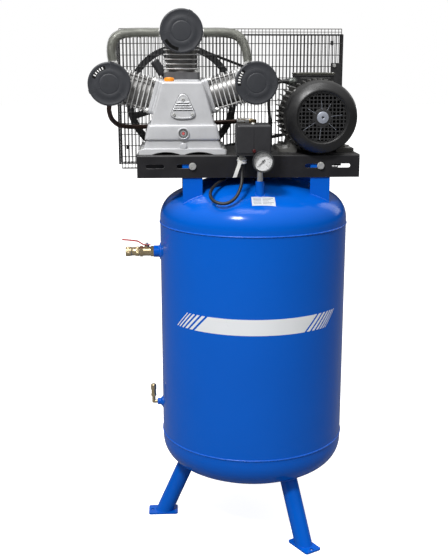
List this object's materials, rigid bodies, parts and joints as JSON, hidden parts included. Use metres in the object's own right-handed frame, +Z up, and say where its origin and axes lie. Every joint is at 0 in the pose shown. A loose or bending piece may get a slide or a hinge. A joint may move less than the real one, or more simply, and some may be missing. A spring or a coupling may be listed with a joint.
{
  "type": "vertical tank compressor",
  "caption": "Belt-driven piston air compressor: W-type pump and electric motor on a platform over a vertical blue receiver on splayed legs.",
  "frame": {"origin": "on the floor, on the tank's vertical axis, at the centre of the three foot anchor holes", "axes": "+Z up along the tank, +Y towards the belt guard, +X from the pump towards the motor"},
  "size_m": [0.8203, 0.639, 1.674],
  "materials": {
    "tank_paint": "gloss enamel",
    "platform_paint": "semi-gloss black",
    "zinc": "zinc plated",
    "brass_fittings": "machined brass",
    "bright_steel": "ground",
    "red_lever": "dipped red",
    "black_plastic": "moulded",
    "red_plastic": "moulded",
    "dial_white": "printed white",
    "clear_lens": "clear",
    "cable_rubber": "matte",
    "motor_paint": "semi-gloss black",
    "drive_iron": "painted dark",
    "cast_silver": "silver paint on a casting",
    "cylinder_alloy": "cast",
    "filter_plastic": "moulded",
    "orange_plastic": "moulded",
    "pipe_grey": "dull grey",
    "pipe_brown": "dark brown coat",
    "belt_rubber": "matte",
    "guard_paint": "black coat"
  },
  "bodies": {
    "frame": {"tank_shell": "tank_paint", "tank_heads": "tank_paint", "tank_bosses": "tank_paint", "tank_legs": "tank_paint", "platform_brackets": "tank_paint", "base_platform": "platform_paint", "platform_bolts": "zinc", "outlet_valve_body": "brass_fittings", "outlet_coupling": "brass_fittings", "safety_valve_body": "brass_fittings", "drain_valve_body": "brass_fittings", "riser_pipe": "zinc", "switch_manifold": "black_plastic", "switch_base": "black_plastic", "switch_cover": "black_plastic", "gauge_case": "bright_steel", "gauge_dial": "dial_white", "gauge_lens": "clear_lens", "cable_glands": "zinc", "motor_cable": "cable_rubber", "motor_housing": "motor_paint", "motor_end_shields": "motor_paint", "shaft_bearings": "bright_steel", "motor_fan_cover": "motor_paint", "motor_terminal_box": "motor_paint", "crankcase": "cast_silver", "rear_bearing_housing": "cast_silver", "cylinders": "cylinder_alloy", "cylinder_heads": "cylinder_alloy", "head_bolts": "zinc", "air_filters": "filter_plastic", "breather_cover": "cast_silver", "sight_glass": "brass_fittings", "oil_drain_plug": "zinc", "oil_filler_cap": "orange_plastic", "breather_filter": "black_plastic", "finned_pipes": "pipe_grey", "discharge_pipe": "pipe_brown", "check_valve": "brass_fittings", "v_belts": "belt_rubber", "guard_front_grille": "guard_paint", "guard_rear_grille": "guard_paint", "guard_frame": "guard_paint"},
    "crank": {"crankshaft": "bright_steel", "flywheel": "drive_iron"},
    "rotor": {"motor_rotor": "bright_steel", "motor_fan": "black_plastic", "motor_pulley": "drive_iron"},
    "outlet_lever": {"outlet_valve_ball": "bright_steel", "outlet_valve_lever": "red_lever"},
    "gauge_needle": {"gauge_needle": "black_plastic"},
    "switch_button": {"switch_button": "red_plastic"},
    "safety_cap": {"safety_valve_cap": "brass_fittings"},
    "drain_knob": {"drain_valve_knob": "brass_fittings"},
    "rod_left": {"connecting_rod_left": "cylinder_alloy"},
    "piston_left": {"piston_left": "cylinder_alloy"},
    "rod_top": {"connecting_rod_top": "cylinder_alloy"},
    "piston_top": {"piston_top": "cylinder_alloy"},
    "rod_right": {"connecting_rod_right": "cylinder_alloy"},
    "piston_right": {"piston_right": "cylinder_alloy"}
  },
  "joints": [
    {"name": "crank_spin", "type": "hinge", "parent": "frame", "child": "crank", "pos_m": [-0.226, -0.03, 1.396], "axis": [0, 1, 0], "continuous": true},
    {"name": "rotor_spin", "type": "hinge", "parent": "frame", "child": "rotor", "pos_m": [0.189, 0, 1.361], "axis": [0, 1, 0], "continuous": true},
    {"name": "rod_left_swing", "type": "hinge", "parent": "crank", "child": "rod_left", "pos_m": [-0.226, -0.045, 1.374], "axis": [0, 1, 0], "continuous": true},
    {"name": "piston_left_slide", "type": "slide", "parent": "frame", "child": "piston_left", "axis": [-0.9613, 0, 0.2756], "range_m": [-0.01594, 0.02806]},
    {"name": "rod_top_swing", "type": "hinge", "parent": "crank", "child": "rod_top", "pos_m": [-0.226, -0.03, 1.374], "axis": [0, 1, 0], "continuous": true},
    {"name": "piston_top_slide", "type": "slide", "parent": "frame", "child": "piston_top", "axis": [0, 0, 1], "range_m": [0, 0.044]},
    {"name": "rod_right_swing", "type": "hinge", "parent": "crank", "child": "rod_right", "pos_m": [-0.226, -0.015, 1.374], "axis": [0, 1, 0], "continuous": true},
    {"name": "piston_right_slide", "type": "slide", "parent": "frame", "child": "piston_right", "axis": [0.9613, 0, 0.2756], "range_m": [-0.01594, 0.02806]},
    {"name": "outlet_lever_turn", "type": "hinge", "parent": "frame", "child": "outlet_lever", "pos_m": [-0.344, 0, 0.923], "axis": [0, 0, 1], "range_deg": [0, 90]},
    {"name": "gauge_needle_turn", "type": "hinge", "parent": "frame", "child": "gauge_needle", "pos_m": [0.005, -0.277, 1.241], "axis": [0, 1, 0], "range_deg": [0, 270], "stiffness_Nm_per_rad": 0.002, "springref_deg": -11.46},
    {"name": "switch_button_press", "type": "slide", "parent": "frame", "child": "switch_button", "axis": [0, 1, 0], "range_m": [0, 0.003], "stiffness_N_per_m": 300, "springref_m": -0.001},
    {"name": "safety_cap_lift", "type": "slide", "parent": "frame", "child": "safety_cap", "axis": [0, 0, 1], "range_m": [0, 0.003], "stiffness_N_per_m": 800, "springref_m": -0.001},
    {"name": "drain_knob_turn", "type": "hinge", "parent": "frame", "child": "drain_knob", "pos_m": [0, 0.15, 0.135], "axis": [0, 0, 1], "range_deg": [0, 360]}
  ],
  "couplings": [
    {"joint": "rotor_spin", "follows": "crank_spin", "ratio": 2.7778},
    {"joint": "rod_left_swing", "follows": "crank_spin", "ratio": -1},
    {"joint": "rod_top_swing", "follows": "crank_spin", "ratio": -1},
    {"joint": "rod_right_swing", "follows": "crank_spin", "ratio": -1}
  ]
}
